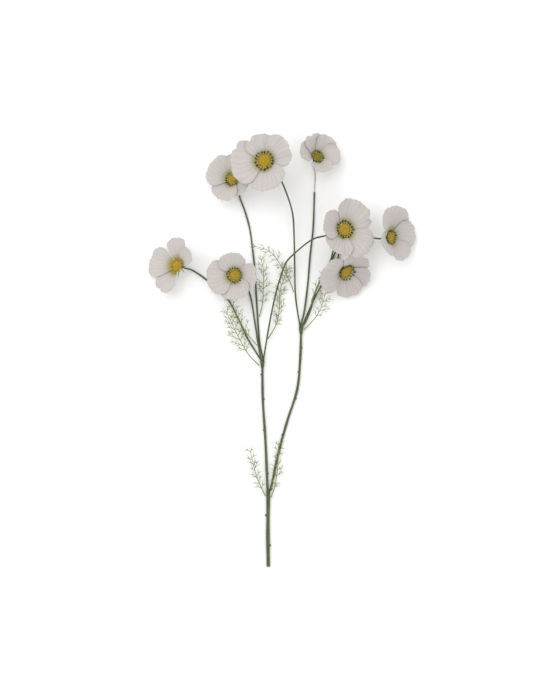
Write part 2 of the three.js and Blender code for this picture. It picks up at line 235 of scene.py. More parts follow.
# ------------------------------------------------------------------ curves and tubes

def mix(a, b, share):
    return a + (b - a) * share


def clamp(value, low=0.0, high=1.0):
    return max(low, min(high, value))


def smooth(value, low, high):
    share = clamp((value - low) / (high - low))
    return share * share * (3 - 2 * share)


def curve_through(points, per_span=8):
    """Points along a centripetal Catmull-Rom curve through the given points."""
    first = points[0] * 2 - points[1]
    last = points[-1] * 2 - points[-2]
    knots = [first, *points, last]
    result = []
    for i in range(1, len(knots) - 2):
        p0, p1, p2, p3 = knots[i - 1:i + 3]
        t0 = 0.0
        t1 = t0 + math.sqrt((p1 - p0).length)
        t2 = t1 + math.sqrt((p2 - p1).length)
        t3 = t2 + math.sqrt((p3 - p2).length)
        for step in range(per_span):
            t = mix(t1, t2, step / per_span)
            a1 = p0 * ((t1 - t) / (t1 - t0)) + p1 * ((t - t0) / (t1 - t0))
            a2 = p1 * ((t2 - t) / (t2 - t1)) + p2 * ((t - t1) / (t2 - t1))
            a3 = p2 * ((t3 - t) / (t3 - t2)) + p3 * ((t - t2) / (t3 - t2))
            b1 = a1 * ((t2 - t) / (t2 - t0)) + a2 * ((t - t0) / (t2 - t0))
            b2 = a2 * ((t3 - t) / (t3 - t1)) + a3 * ((t - t1) / (t3 - t1))
            result.append(b1 * ((t2 - t) / (t2 - t1)) + b2 * ((t - t1) / (t2 - t1)))
    result.append(points[-1].copy())
    return result


class Builder:
    """Collects the points, faces and face finishes of one piece."""

    def __init__(self):
        self.points = []
        self.faces = []
        self.uvs = []
        self.finishes = []

    def add_face(self, corners, uvs, finish=0):
        self.faces.append(corners)
        self.uvs.append(uvs)
        self.finishes.append(finish)

    def mesh(self, name, materials):
        mesh = bpy.data.meshes.new(name)
        mesh.from_pydata(self.points, [], self.faces)
        layer = mesh.uv_layers.new(name="UVMap")
        flat = [value for uvs in self.uvs for uv in uvs for value in uv]
        layer.data.foreach_set("uv", flat)
        for material in materials:
            mesh.materials.append(material)
        mesh.polygons.foreach_set("material_index", self.finishes)
        mesh.polygons.foreach_set("use_smooth", [True] * len(self.faces))
        mesh.update()
        return mesh

    def add_tube(self, path, radius_at, sides=12, finish=0, flatness=1.0):
        """A closed round bar whose radius is a function of the distance and share along it."""
        forward = (path[1] - path[0]).normalized()
        side = forward.cross(UP if abs(forward.z) < 0.9 else Vector((1, 0, 0))).normalized()
        rings = []
        lengths = [0.0]
        for a, b in zip(path, path[1:]):
            lengths.append(lengths[-1] + (b - a).length)
        total = lengths[-1]
        for i, point in enumerate(path):
            before = path[max(i - 1, 0)]
            after = path[min(i + 1, len(path) - 1)]
            forward = (after - before).normalized()
            side = (side - forward * side.dot(forward)).normalized()
            other = forward.cross(side)
            radius = radius_at(lengths[i], lengths[i] / total)
            start = len(self.points)
            for k in range(sides):
                turn = 2 * math.pi * k / sides
                across = side * math.cos(turn) + other * math.sin(turn) * flatness
                self.points.append(point + across * radius)
            rings.append(range(start, start + sides))
        for i, (ring, following) in enumerate(zip(rings, rings[1:])):
            low, high = lengths[i], lengths[i + 1]
            for k in range(sides):
                n = (k + 1) % sides
                u0, u1 = k / sides, (k + 1) / sides
                self.add_face((ring[k], ring[n], following[n], following[k]),
                              ((u0, low), (u1, low), (u1, high), (u0, high)), finish)
        for ring, tip, end in ((rings[0], path[0], 0), (rings[-1], path[-1], -1)):
            index = len(self.points)
            self.points.append(tip)
            for k in range(sides):
                n = (k + 1) % sides
                corners = (ring[k], index, ring[n]) if end == 0 else (ring[n], index, ring[k])
                self.add_face(corners, ((0, lengths[end]),) * 3, finish)


def finish_piece(name, mesh, slot, *nodes):
    """Puts a mesh in the scene as a piece of the spray that stands for CAD nodes."""
    piece = bpy.data.objects.new(name, mesh)
    bpy.context.scene.collection.objects.link(piece)
    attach(piece, ROOT)
    if nodes:
        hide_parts(*nodes)
    return piece


# ------------------------------------------------------------------ copies on points

def socket(tree, name, kind, default, in_out="INPUT"):
    made = tree.interface.new_socket(name=name, in_out=in_out, socket_type=kind)
    if default is not None:
        made.default_value = default
    return made


def named_attribute(tree, name, kind):
    node = tree.nodes.new("GeometryNodeInputNamedAttribute")
    node.data_type = kind
    node.inputs["Name"].default_value = name
    return node.outputs["Attribute"]


def copies_tree(name, make_shape):
    """A tree that puts one small shape on every point, turned to aim and sized by length and girth."""
    tree = bpy.data.node_groups.new(name, "GeometryNodeTree")
    socket(tree, "Geometry", "NodeSocketGeometry", None)
    socket(tree, "Size", "NodeSocketFloat", 1.0)
    socket(tree, "Material", "NodeSocketMaterial", None)
    socket(tree, "Geometry", "NodeSocketGeometry", None, "OUTPUT")
    link = tree.links.new
    add = tree.nodes.new
    inputs = add("NodeGroupInput")
    outputs = add("NodeGroupOutput")
    shape = make_shape(tree)
    aim = add("FunctionNodeAlignEulerToVector")
    aim.axis = "Z"
    link(named_attribute(tree, "aim", "FLOAT_VECTOR"), aim.inputs["Vector"])
    scale = add("ShaderNodeCombineXYZ")
    girth = named_attribute(tree, "girth", "FLOAT")
    link(girth, scale.inputs["X"])
    link(girth, scale.inputs["Y"])
    link(named_attribute(tree, "length", "FLOAT"), scale.inputs["Z"])
    sized = add("ShaderNodeVectorMath")
    sized.operation = "SCALE"
    link(scale.outputs["Vector"], sized.inputs[0])
    link(inputs.outputs["Size"], sized.inputs["Scale"])
    copies = add("GeometryNodeInstanceOnPoints")
    link(inputs.outputs["Geometry"], copies.inputs["Points"])
    link(shape, copies.inputs["Instance"])
    link(aim.outputs["Rotation"], copies.inputs["Rotation"])
    link(sized.outputs["Vector"], copies.inputs["Scale"])
    realize = add("GeometryNodeRealizeInstances")
    link(copies.outputs["Instances"], realize.inputs["Geometry"])
    shade = add("GeometryNodeSetShadeSmooth")
    link(realize.outputs["Geometry"], shade.inputs["Geometry"])
    finish = add("GeometryNodeSetMaterial")
    link(shade.outputs["Geometry"], finish.inputs["Geometry"])
    link(inputs.outputs["Material"], finish.inputs["Material"])
    link(finish.outputs["Geometry"], outputs.inputs["Geometry"])
    return tree


def store_height(tree, geometry):
    """Keeps each point's height on the unit shape as an attribute, from foot 0 to tip 1."""
    position = tree.nodes.new("GeometryNodeInputPosition")
    split = tree.nodes.new("ShaderNodeSeparateXYZ")
    tree.links.new(position.outputs["Position"], split.inputs["Vector"])
    store = tree.nodes.new("GeometryNodeStoreNamedAttribute")
    store.data_type = "FLOAT"
    store.domain = "POINT"
    store.inputs["Name"].default_value = "height"
    tree.links.new(geometry, store.inputs["Geometry"])
    tree.links.new(split.outputs["Z"], store.inputs["Value"])
    return store.outputs["Geometry"]


def bead_shape(tree):
    """A unit ball, one long from foot to tip."""
    ball = tree.nodes.new("GeometryNodeMeshIcoSphere")
    ball.inputs["Radius"].default_value = 0.5
    ball.inputs["Subdivisions"].default_value = 2
    return store_height(tree, ball.outputs["Mesh"])


def needle_shape(tree):
    """A tapered needle, one long and one across at its foot."""
    cone = tree.nodes.new("GeometryNodeMeshCone")
    cone.inputs["Vertices"].default_value = 6
    cone.inputs["Side Segments"].default_value = 3
    cone.inputs["Radius Top"].default_value = 0.22
    cone.inputs["Radius Bottom"].default_value = 0.5
    cone.inputs["Depth"].default_value = 1.0
    return store_height(tree, cone.outputs["Mesh"])


def tree_named(name, make_shape):
    return bpy.data.node_groups.get(name) or copies_tree(name, make_shape)


def set_input(modifier, name, value):
    for item in modifier.node_group.interface.items_tree:
        if item.in_out == "INPUT" and item.name == name:
            modifier[item.identifier] = value
            return
    raise RuntimeError(f"{modifier.node_group.name} has no input {name}")


def copies_mesh(name, spots, make_shape, material, size=1.0):
    """The plain mesh of many copies. A spot is place, aim, length, girth and tint."""
    mesh = bpy.data.meshes.new(name + "_points")
    mesh.from_pydata([spot[0] for spot in spots], [], [])
    for attribute, kind, column in (("aim", "FLOAT_VECTOR", 1), ("length", "FLOAT", 2),
                                    ("girth", "FLOAT", 3), ("tint", "FLOAT", 4)):
        data = mesh.attributes.new(attribute, kind, "POINT").data
        for item, spot in zip(data, spots):
            if kind == "FLOAT_VECTOR":
                item.vector = spot[column]
            else:
                item.value = spot[column]
    holder = bpy.data.objects.new(name + "_holder", mesh)
    bpy.context.scene.collection.objects.link(holder)
    modifier = holder.modifiers.new("copies", "NODES")
    modifier.node_group = tree_named("copies_" + make_shape.__name__, make_shape)
    set_input(modifier, "Size", size)
    set_input(modifier, "Material", material)
    depsgraph = bpy.context.evaluated_depsgraph_get()
    result = bpy.data.meshes.new_from_object(holder.evaluated_get(depsgraph))
    result.name = name
    bpy.data.objects.remove(holder)
    if not result.polygons:
        raise RuntimeError(f"{name} came out empty")
    return result


def join_meshes(name, meshes):
    """One mesh from several, keeping each one's materials and attributes."""
    objects = []
    for mesh in meshes:
        item = bpy.data.objects.new("joining", mesh)
        bpy.context.scene.collection.objects.link(item)
        objects.append(item)
    with bpy.context.temp_override(active_object=objects[0], selected_editable_objects=objects,
                                   selected_objects=objects, object=objects[0]):
        bpy.ops.object.join()
    result = objects[0].data
    bpy.data.objects.remove(objects[0])
    result.name = name
    return result


# ------------------------------------------------------------------ materials

def group_socket(group, name, kind, in_out, default=None):
    made = group.interface.new_socket(name=name, in_out=in_out, socket_type=kind)
    if default is not None:
        made.default_value = default


def mottle_group():
    """Soft blotches and fine grain over a piece, from 0 to 1."""
    group = bpy.data.node_groups.get("mottle")
    if group:
        return group
    group = bpy.data.node_groups.new("mottle", "ShaderNodeTree")
    group_socket(group, "Blotch Scale", "NodeSocketFloat", "INPUT", 60.0)
    group_socket(group, "Grain Scale", "NodeSocketFloat", "INPUT", 900.0)
    group_socket(group, "Blotch", "NodeSocketFloat", "OUTPUT")
    group_socket(group, "Grain", "NodeSocketFloat", "OUTPUT")
    inputs = group.nodes.new("NodeGroupInput")
    outputs = group.nodes.new("NodeGroupOutput")
    place_node = group.nodes.new("ShaderNodeTexCoord")
    for name, detail in (("Blotch", 3.0), ("Grain", 2.0)):
        noise = group.nodes.new("ShaderNodeTexNoise")
        noise.inputs["Detail"].default_value = detail
        group.links.new(place_node.outputs["Object"], noise.inputs["Vector"])
        group.links.new(inputs.outputs[name + " Scale"], noise.inputs["Scale"])
        spread = group.nodes.new("ShaderNodeMapRange")
        spread.inputs["From Min"].default_value = 0.3
        spread.inputs["From Max"].default_value = 0.7
        group.links.new(noise.outputs["Fac"], spread.inputs["Value"])
        group.links.new(spread.outputs["Result"], outputs.inputs[name])
    return group


def ribs_group():
    """Fine ribs that run from a petal's or stem's foot to its tip, from 0 to 1."""
    group = bpy.data.node_groups.get("ribs")
    if group:
        return group
    group = bpy.data.node_groups.new("ribs", "ShaderNodeTree")
    group_socket(group, "Count", "NodeSocketFloat", "INPUT", 20.0)
    group_socket(group, "Wander", "NodeSocketFloat", "INPUT", 1.0)
    group_socket(group, "Rib", "NodeSocketFloat", "OUTPUT")
    inputs = group.nodes.new("NodeGroupInput")
    outputs = group.nodes.new("NodeGroupOutput")
    surface = group.nodes.new("ShaderNodeUVMap")
    surface.uv_map = "UVMap"
    split = group.nodes.new("ShaderNodeSeparateXYZ")
    group.links.new(surface.outputs["UV"], split.inputs["Vector"])
    wander = group.nodes.new("ShaderNodeTexNoise")
    wander.inputs["Scale"].default_value = 5.0
    group.links.new(surface.outputs["UV"], wander.inputs["Vector"])
    steps = (("MULTIPLY", split.outputs["X"], inputs.outputs["Count"]),
             ("MULTIPLY", wander.outputs["Fac"], inputs.outputs["Wander"]))
    parts = []
    for operation, first, second in steps:
        step = group.nodes.new("ShaderNodeMath")
        step.operation = operation
        group.links.new(first, step.inputs[0])
        group.links.new(second, step.inputs[1])
        parts.append(step.outputs["Value"])
    total = group.nodes.new("ShaderNodeMath")
    total.operation = "ADD"
    group.links.new(parts[0], total.inputs[0])
    group.links.new(parts[1], total.inputs[1])
    turn = group.nodes.new("ShaderNodeMath")
    turn.operation = "MULTIPLY"
    turn.inputs[1].default_value = 2 * math.pi
    group.links.new(total.outputs["Value"], turn.inputs[0])
    wave = group.nodes.new("ShaderNodeMath")
    wave.operation = "SINE"
    group.links.new(turn.outputs["Value"], wave.inputs[0])
    level = group.nodes.new("ShaderNodeMapRange")
    level.inputs["From Min"].default_value = -1.0
    group.links.new(wave.outputs["Value"], level.inputs["Value"])
    group.links.new(level.outputs["Result"], outputs.inputs["Rib"])
    return group


class Finish:
    """A material under construction, with short ways to add its nodes."""

    def __init__(self, name, roughness, **constants):
        self.material = bpy.data.materials.new(name)
        self.material.use_nodes = True
        self.tree = self.material.node_tree
        self.shader = self.tree.nodes["Principled BSDF"]
        self.shader.inputs["Roughness"].default_value = roughness
        for key, value in constants.items():
            self.shader.inputs[key.replace("_", " ")].default_value = value

    def group(self, group, **values):
        node = self.tree.nodes.new("ShaderNodeGroup")
        node.node_tree = group
        for key, value in values.items():
            node.inputs[key.replace("_", " ")].default_value = value
        return node

    def blend(self, factor, first, second):
        node = self.tree.nodes.new("ShaderNodeMix")
        node.data_type = "RGBA"
        self.feed(factor, node.inputs[0])
        self.feed(first, node.inputs[6])
        self.feed(second, node.inputs[7])
        return node.outputs[2]

    def feed(self, value, target):
        if isinstance(value, bpy.types.NodeSocket):
            self.tree.links.new(value, target)
        elif hasattr(value, "__len__"):
            target.default_value = (*value, 1.0)
        else:
            target.default_value = value

    def maths(self, operation, first, second=0.0):
        node = self.tree.nodes.new("ShaderNodeMath")
        node.operation = operation
        node.use_clamp = operation == "MULTIPLY"
        self.feed(first, node.inputs[0])
        self.feed(second, node.inputs[1])
        return node.outputs["Value"]

    def ramp(self, value, low, high, start=0.0, end=1.0):
        node = self.tree.nodes.new("ShaderNodeMapRange")
        node.interpolation_type = "SMOOTHSTEP"
        self.feed(value, node.inputs["Value"])
        for key, number in (("From Min", low), ("From Max", high), ("To Min", start), ("To Max", end)):
            node.inputs[key].default_value = number
        return node.outputs["Result"]

    def attribute(self, name):
        node = self.tree.nodes.new("ShaderNodeAttribute")
        node.attribute_name = name
        return node.outputs["Fac"]

    def along(self):
        """How far along the piece a point is: the second number of its UV map."""
        surface = self.tree.nodes.new("ShaderNodeUVMap")
        surface.uv_map = "UVMap"
        split = self.tree.nodes.new("ShaderNodeSeparateXYZ")
        self.tree.links.new(surface.outputs["UV"], split.inputs["Vector"])
        return split.outputs["Y"]

    def bump(self, height, strength, distance):
        node = self.tree.nodes.new("ShaderNodeBump")
        node.inputs["Strength"].default_value = strength
        node.inputs["Distance"].default_value = distance
        self.tree.links.new(height, node.inputs["Height"])
        self.tree.links.new(node.outputs["Normal"], self.shader.inputs["Normal"])

    def colour(self, value):
        self.feed(value, self.shader.inputs["Base Color"])


def petal_cloth():
    tint = colours()
    finish = Finish("petal_cloth", 0.78, Sheen_Weight=0.25, Sheen_Roughness=0.5)
    mottle = finish.group(mottle_group(), Blotch_Scale=45.0, Grain_Scale=2600.0)
    broad = finish.group(ribs_group(), Count=9.0, Wander=1.4)
    fine = finish.group(ribs_group(), Count=34.0, Wander=2.2)
    along = finish.along()
    # Painted shade: the grooves between the broad ribs turn to the shade colour, more strongly towards the
    # eye. The fine ribs add the cloth's own faint veins.
    ribs = finish.maths("MULTIPLY", broad.outputs["Rib"], finish.ramp(along, 0.1, 0.7, 0.75, 0.3))
    veins = finish.maths("MULTIPLY", fine.outputs["Rib"], 0.22)
    shade = finish.maths("ADD", finish.maths("MULTIPLY", ribs, 0.75), veins)
    cloth = finish.blend(shade, tint.petal, tint.petal_veins_and_painted_shade)
    blush = [value * factor for value, factor in zip(tint.petal, (1.0, 0.94, 0.94))]
    cloth = finish.blend(finish.maths("MULTIPLY", mottle.outputs["Blotch"], 0.45), cloth, blush)
    # Painted shade deep in the cup: the petals darken towards the eye.
    deep = finish.ramp(along, 0.16, 0.62, 0.5, 0.0)
    cloth = finish.blend(deep, cloth, tint.petal_veins_and_painted_shade)
    # The heart is partly the cloth's own green-yellow tint and partly painted shade around the ring of
    # stamens.
    heart = finish.ramp(along, 0.22, 0.46, 0.95, 0.0)
    cloth = finish.blend(heart, cloth, tint.petal_heart_tint_and_shade)
    finish.colour(cloth)
    height = finish.maths("ADD", finish.maths("MULTIPLY", broad.outputs["Rib"], 0.5),
                          finish.maths("MULTIPLY", fine.outputs["Rib"], 0.35))
    height = finish.maths("ADD", height, finish.maths("MULTIPLY", mottle.outputs["Grain"], 0.12))
    finish.bump(height, 0.55, 0.35 * MM)
    return finish.material


def green_stem():
    tint = colours()
    finish = Finish("green_stem", 0.5, Coat_Roughness=0.4)
    mottle = finish.group(mottle_group(), Blotch_Scale=90.0, Grain_Scale=1500.0)
    ribs = finish.group(ribs_group(), Count=7.0, Wander=0.3)
    shade = finish.maths("ADD", finish.maths("MULTIPLY", mottle.outputs["Blotch"], 0.55),
                         finish.maths("MULTIPLY", ribs.outputs["Rib"], 0.3))
    finish.colour(finish.blend(shade, tint.stem, tint.stem_dark))
    finish.feed(finish.ramp(mottle.outputs["Grain"], 0, 1, 0.42, 0.62), finish.shader.inputs["Roughness"])
    height = finish.maths("ADD", ribs.outputs["Rib"], finish.maths("MULTIPLY", mottle.outputs["Grain"], 0.5))
    finish.bump(height, 0.5, 0.15 * MM)
    return finish.material


def knuckle_green():
    tint = colours()
    finish = Finish("knuckle_green", 0.6)
    mottle = finish.group(mottle_group(), Blotch_Scale=220.0, Grain_Scale=1200.0)
    light = [value * 0.75 for value in tint.stem]
    finish.colour(finish.blend(mottle.outputs["Blotch"], light, tint.stem_dark))
    finish.bump(mottle.outputs["Grain"], 0.5, 0.2 * MM)
    return finish.material


def frond_green():
    tint = colours()
    finish = Finish("frond_green", 0.62)
    mottle = finish.group(mottle_group(), Blotch_Scale=120.0, Grain_Scale=1800.0)
    tips = finish.maths("MULTIPLY", finish.attribute("height"), finish.attribute("tint"))
    green = finish.blend(tips, tint.frond, tint.frond_tip)
    deep = [value * 0.6 for value in tint.frond]
    finish.colour(finish.blend(finish.maths("MULTIPLY", mottle.outputs["Blotch"], 0.55), green, deep))
    finish.bump(mottle.outputs["Grain"], 0.4, 0.1 * MM)
    return finish.material


def speckled(name, first, second, roughness, blotch_scale):
    """A small moulded or flocked piece whose two colours mix in specks."""
    finish = Finish(name, roughness)
    mottle = finish.group(mottle_group(), Blotch_Scale=blotch_scale, Grain_Scale=3000.0)
    mixed = finish.maths("ADD", finish.maths("MULTIPLY", mottle.outputs["Blotch"], 0.6),
                         finish.maths("MULTIPLY", mottle.outputs["Grain"], 0.3))
    finish.colour(finish.blend(mixed, first, second))
    finish.bump(mottle.outputs["Grain"], 0.5, 0.12 * MM)
    return finish.material


def bare_wire():
    tint = colours()
    finish = Finish("bare_wire", 0.45, Metallic=0.6)
    mottle = finish.group(mottle_group(), Blotch_Scale=150.0, Grain_Scale=2500.0)
    dull = [value * 0.6 for value in tint.wire]
    finish.colour(finish.blend(mottle.outputs["Blotch"], tint.wire, dull))
    finish.bump(mottle.outputs["Grain"], 0.3, 0.05 * MM)
    return finish.material


def pale_table():
    finish = Finish("pale_table", 0.9)
    mottle = finish.group(mottle_group(), Blotch_Scale=3.0, Grain_Scale=400.0)
    tint = colours().floor
    soft = [value * 0.99 for value in tint]
    finish.colour(finish.blend(mottle.outputs["Blotch"], tint, soft))
    return finish.material


def scaled(value, factor):
    return [part * factor for part in value]


MAKERS = {
    "petal_cloth": petal_cloth,
    "green_stem": green_stem,
    "knuckle_green": knuckle_green,
    "frond_green": frond_green,
    # The eye's darker specks are painted shade for the hollows between the florets.
    "eye_gold": lambda: speckled("eye_gold", colours().eye, colours().eye_painted_shade, 0.8, 700.0),
    "eye_olive": lambda: speckled(
        "eye_olive", (0.40, 0.34, 0.045), scaled(colours().eye_painted_shade, 0.8), 0.8, 700.0),
    "anther_dark": lambda: speckled(
        "anther_dark", colours().anther, scaled(colours().anther, 2.6), 0.7, 900.0),
    # The golden anthers take the eye's painted shade colour in their darker specks.
    "anther_gold": lambda: speckled(
        "anther_gold", (0.66, 0.40, 0.04), colours().eye_painted_shade, 0.75, 900.0),
    "filament_pale": lambda: speckled(
        "filament_pale", colours().filament, scaled(colours().filament, 0.6), 0.6, 900.0),
    "bare_wire": bare_wire,
    "pale_table": pale_table,
}


def material(name):
    return bpy.data.materials.get(name) or MAKERS[name]()


# ------------------------------------------------------------------ bloom shapes

PETAL_BASE_RADIUS = 2.4
PETAL_BASE_SHARE = 0.88
PETAL_TIP_SHARE = 0.8
PETAL_TIP_ROUND = 0.14
PETAL_NARROWS_FROM = 0.64
PETAL_RIBS = 9
PETAL_RIB_HEIGHT = 0.16
PETAL_EDGE_LIFT = 1.1
PETAL_RIM_DROP = 2.2
# Waves that make the rim's small teeth: height as a share of the length, pace and phase.
PETAL_TEETH = ((0.010, 11, 1), (0.008, 27, 2), (0.006, 61, 3))
PETAL_OVERLAP_STEP = 0.95
PETAL_ROWS = 34
PETAL_COLUMNS = 52
CALYX_TOP = -1.1
CALYX_LENGTH = 7.5
CALYX_RADIUS = 3.5
CAD_CENTRE_GAP = 2.8
CAD_STAMEN_REACH = 1.35
CAD_EYE_HEIGHT = 2
CAD_EYE_DOME = 0.45
CAD_SIDES = 12
EYE_DOME = 0.42
TABLE_GAP = 0.25

# A fold that runs up a petal: where it lies across it, its height and its width.
FOLDS = {
    (1, 2): (-0.25, 4.5, 0.22),
    (1, 0): (0.55, 1.2, 0.2),
    (3, 0): (-0.35, 1.4, 0.25),
    (5, 0): (-0.3, 3.0, 0.3),
    (4, 3): (0.3, 2.0, 0.3),
    (7, 3): (0.35, 1.2, 0.25),
}
# A nick in a petal's rim: where it lies across it, its depth as a share, and its width.
NICKS = {
    (1, 0): (-0.62, 0.09, 0.10),
    (1, 1): (0.55, 0.10, 0.12),
    (2, 1): (0.15, 0.08, 0.12),
    (3, 0): (-0.72, 0.10, 0.12),
    (5, 1): (-0.1, 0.07, 0.12),
    (6, 2): (0.2, 0.06, 0.14),
    (7, 3): (-0.15, 0.06, 0.12),
}


def axis_of(bloom):
    lean = math.radians(bloom["lean"])
    heading = math.radians(bloom["heading"])
    across = math.sin(lean)
    return Vector((across * math.cos(heading), across * math.sin(heading), math.cos(lean)))


def turn_of(bloom):
    return UP.rotation_difference(axis_of(bloom))


def reach_of(bloom):
    return max(petal[1] for petal in bloom["petals"])


def cup_profile(bloom, turn, along):
    """Distance out from the axis, height along it, and slope, at a distance along the petal."""
    base, rim, flare, flare_at = bloom["cup"]
    first = math.radians(base)
    last = math.radians(rim - flare * math.cos(turn - math.radians(flare_at)))
    bend = (last - first) / reach_of(bloom)
    slope = first + bend * along
    out = PETAL_BASE_RADIUS + (math.sin(slope) - math.sin(first)) / bend
    return out, (math.cos(first) - math.cos(slope)) / bend, slope


def cup_height(bloom, radius, turn=0.0):
    """Height of the cup at a distance out from the axis."""
    along = max(0.0, radius - PETAL_BASE_RADIUS)
    for _ in range(6):
        out, height, slope = cup_profile(bloom, turn, along)
        along += (radius - out) / math.cos(slope)
    return cup_profile(bloom, turn, along)[1]


def cad_base(number, bloom):
    """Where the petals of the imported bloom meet, worked out from the box of its eye."""
    eye = bloom["eye"]
    rise = math.tan(math.radians(bloom["cup"][0]))

    def under(radius):
        return rise * max(0, radius - PETAL_BASE_RADIUS) + CAD_CENTRE_GAP

    ring = eye * CAD_STAMEN_REACH
    shoulder = under(eye) + CAD_EYE_HEIGHT
    profile = [(0, CAD_CENTRE_GAP), (PETAL_BASE_RADIUS, CAD_CENTRE_GAP), (ring, under(ring)),
               (ring, under(ring) + 1), (eye, shoulder), (0, shoulder + eye * CAD_EYE_DOME)]
    turned = turn_of(bloom)
    spots = []
    for radius, height in profile:
        for k in range(CAD_SIDES):
            angle = 2 * math.pi * k / CAD_SIDES
            spot = Vector((radius * math.sin(angle), -radius * math.cos(angle), height))
            spots.append(turned @ spot)
    offset = Vector([(min(s[i] for s in spots) + max(s[i] for s in spots)) / 2 for i in range(3)])
    low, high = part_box(f"bloom_{number}_centre")
    middle = (Vector(low) + Vector(high)) / 2
    return middle - offset * MM, shoulder


def eye_level(bloom):
    return cup_height(bloom, bloom["eye"]) + 1.5


def base_of(number, bloom):
    """Where the petals meet here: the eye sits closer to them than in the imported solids."""
    base, cad_level = cad_base(number, bloom)
    return base + axis_of(bloom) * (cad_level - eye_level(bloom)) * 0.6 * MM


def petal_shape(number, bloom, index, petal, s, t, depth):
    """A point on a petal, in the bloom's own frame. s runs to the tip and t across."""
    turn_degrees, length, spread = petal
    phase = number * 1.7 + index * 2.3
    widening = mix(PETAL_BASE_SHARE, 1, smooth(s, 0, 0.3))
    beyond = clamp((s - PETAL_NARROWS_FROM) / (1 - PETAL_NARROWS_FROM))
    narrowing = math.sqrt(1 - beyond * beyond * (1 - PETAL_TIP_SHARE ** 2))
    turn = math.radians(turn_degrees + spread * t * widening * narrowing)
    rim = s ** 5
    teeth = sum(high * math.sin(pace * t + shift * phase) for high, pace, shift in PETAL_TEETH)
    nick = NICKS.get((number - 1, index))
    if nick:
        teeth -= nick[1] * math.exp(-((t - nick[0]) / nick[2]) ** 2)
    along = length * (s * (1 - PETAL_TIP_ROUND * t ** 4 * s) + rim * teeth)
    out, up, slope = cup_profile(bloom, turn, along)
    ramp = smooth(along, 1, 9)
    lift = PETAL_OVERLAP_STEP * t * ramp + depth
    share = along / reach_of(bloom)
    ruffle = sizes().ruffle / MM
    wave = 0.6 * math.sin(5 * turn + 1.3 * number) + 0.4 * math.sin(11 * turn + 2.1 * number)
    lift += ruffle * wave * smooth(share, 0.35, 1.0)
    lift += 0.5 * ruffle * math.sin(9 * t + phase) * rim
    ribs = math.cos(PETAL_RIBS * math.pi * t + 0.8 * math.sin(4 * s + phase))
    lift += PETAL_RIB_HEIGHT * ribs * smooth(s, 0.12, 0.5)
    lift += PETAL_EDGE_LIFT * t * t * s
    lift -= PETAL_RIM_DROP * smooth(share, 0.78, 1.05) ** 2
    fold = FOLDS.get((number - 1, index))
    if fold:
        lift += fold[1] * math.exp(-((t - fold[0]) / fold[2]) ** 2) * smooth(s, 0.25, 0.9)
    radial = out - math.sin(slope) * lift
    height = up + math.cos(slope) * lift
    return Vector((radial * math.cos(turn), radial * math.sin(turn), height))


def petal_mesh(name, number, bloom, index, petal):
    """A closed thin shell of ribbed cloth."""
    build = Builder()
    base = base_of(number, bloom)
    turned = turn_of(bloom)
    half = sizes().petal_thickness / MM / 2
    floor = CUT_END.z + TABLE_GAP * MM
    rows, columns = PETAL_ROWS, PETAL_COLUMNS
    for depth in (half, -half):
        for row in range(rows + 1):
            for column in range(columns + 1):
                s, t = row / rows, 2 * column / columns - 1
                spot = base + (turned @ petal_shape(number, bloom, index, petal, s, t, depth)) * MM
                spot.z = max(spot.z, floor + (depth + half) * MM)
                build.points.append(spot)

    def at(row, column, face):
        return (face * (rows + 1) + row) * (columns + 1) + column

    def quad(*corners):
        uvs = [(column / columns, row / rows) for row, column, _ in corners]
        build.add_face([at(*corner) for corner in corners], uvs)

    for row in range(rows):
        for column in range(columns):
            above, beside = row + 1, column + 1
            quad((row, column, 0), (above, column, 0), (above, beside, 0), (row, beside, 0))
            quad((row, column, 1), (row, beside, 1), (above, beside, 1), (above, column, 1))
        quad((row, 0, 0), (row, 0, 1), (row + 1, 0, 1), (row + 1, 0, 0))
        quad((row, columns, 0), (row + 1, columns, 0), (row + 1, columns, 1), (row, columns, 1))
    for column in range(columns):
        quad((0, column, 0), (0, column + 1, 0), (0, column + 1, 1), (0, column, 1))
        quad((rows, column, 0), (rows, column, 1), (rows, column + 1, 1), (rows, column + 1, 0))
    return build.mesh(name, [material("petal_cloth")])


def add_lathe(build, profile, sides, move):
    """A closed turned shape about the bloom's axis. The profile starts and ends on the axis."""
    rings = []
    for radius, height in profile:
        start = len(build.points)
        if radius == 0:
            build.points.append(move(Vector((0, 0, height))))
            rings.append([start] * sides)
            continue
        for k in range(sides):
            angle = 2 * math.pi * k / sides
            build.points.append(move(Vector((radius * math.cos(angle), radius * math.sin(angle), height))))
        rings.append(list(range(start, start + sides)))
    for i, (ring, following) in enumerate(zip(rings, rings[1:])):
        for k in range(sides):
            n = (k + 1) % sides
            corners = [ring[k], ring[n], following[n], following[k]]
            uvs = [(k / sides, i), ((k + 1) / sides, i), ((k + 1) / sides, i + 1), (k / sides, i + 1)]
            kept = [j for j in range(4) if corners[j] != corners[j - 1]]
            build.add_face([corners[j] for j in kept], [uvs[j] for j in kept])


def mover(number, bloom):
    base = base_of(number, bloom)
    turned = turn_of(bloom)
    return lambda point: base + (turned @ point) * MM


